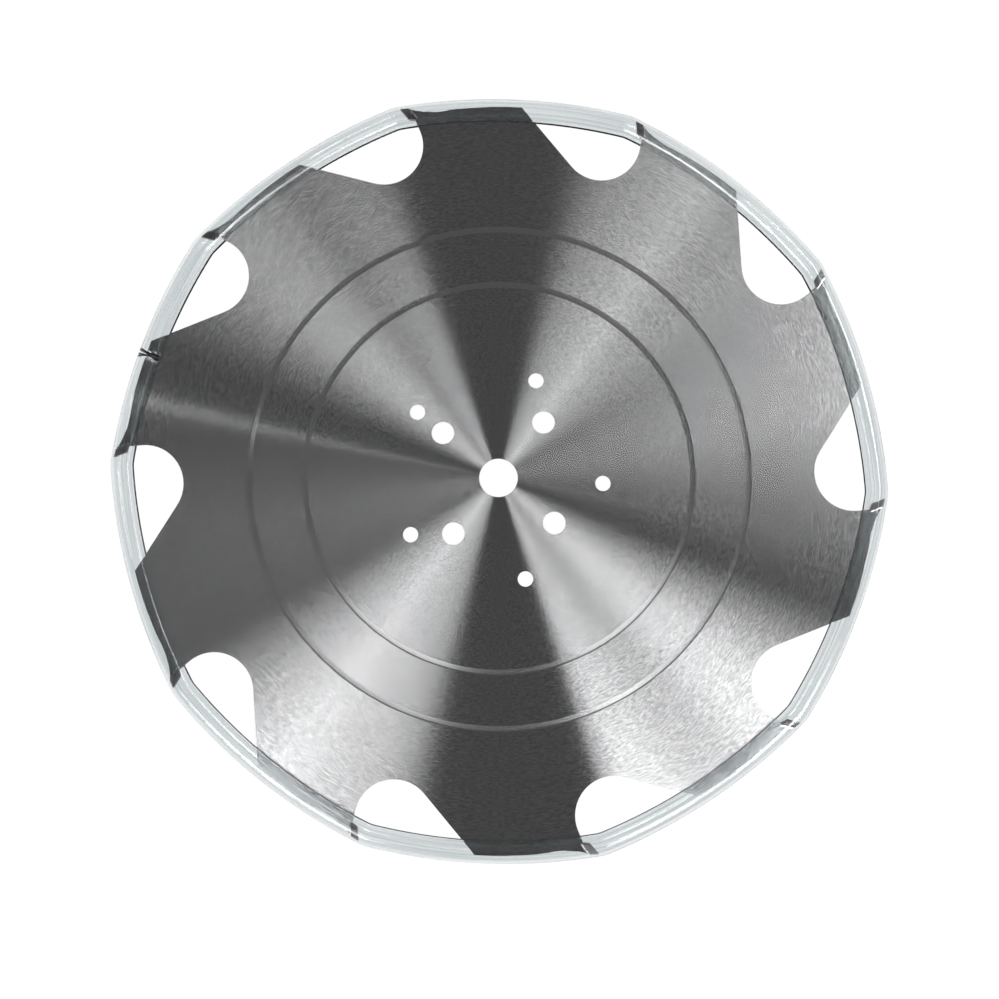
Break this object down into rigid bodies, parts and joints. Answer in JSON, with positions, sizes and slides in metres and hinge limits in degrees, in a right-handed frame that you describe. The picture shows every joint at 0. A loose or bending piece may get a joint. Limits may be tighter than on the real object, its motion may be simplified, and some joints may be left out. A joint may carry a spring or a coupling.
{
  "type": "circular saw blade",
  "caption": "Carbide-tipped circular saw blade with deep gullets, flange pin holes and tension rings, its rim in a clear slit-tube edge guard.",
  "frame": {"origin": "centre of the bore at the plate's mid-plane", "axes": "+Z along the bore axis, +Y towards the top of the picture; seen from +Z the teeth point counter-clockwise"},
  "size_m": [0.604, 0.5952, 0.018],
  "materials": {
    "ground_steel": "ground in fine circles about the bore",
    "carbide": "diamond-ground, dark grey",
    "silver_braze": "bright silver solder",
    "clear_pvc": "clear soft hose with a faint blue-grey tint"
  },
  "bodies": {
    "root": {"saw_plate": "ground_steel", "carbide_tip_01": "carbide", "carbide_tip_02": "carbide", "carbide_tip_03": "carbide", "carbide_tip_04": "carbide", "carbide_tip_05": "carbide", "carbide_tip_06": "carbide", "carbide_tip_07": "carbide", "carbide_tip_08": "carbide", "carbide_tip_09": "carbide", "carbide_tip_10": "carbide", "braze_joint_01": "silver_braze", "braze_joint_02": "silver_braze", "braze_joint_03": "silver_braze", "braze_joint_04": "silver_braze", "braze_joint_05": "silver_braze", "braze_joint_06": "silver_braze", "braze_joint_07": "silver_braze", "braze_joint_08": "silver_braze", "braze_joint_09": "silver_braze", "braze_joint_10": "silver_braze", "edge_guard": "clear_pvc"}
  },
  "joints": []
}
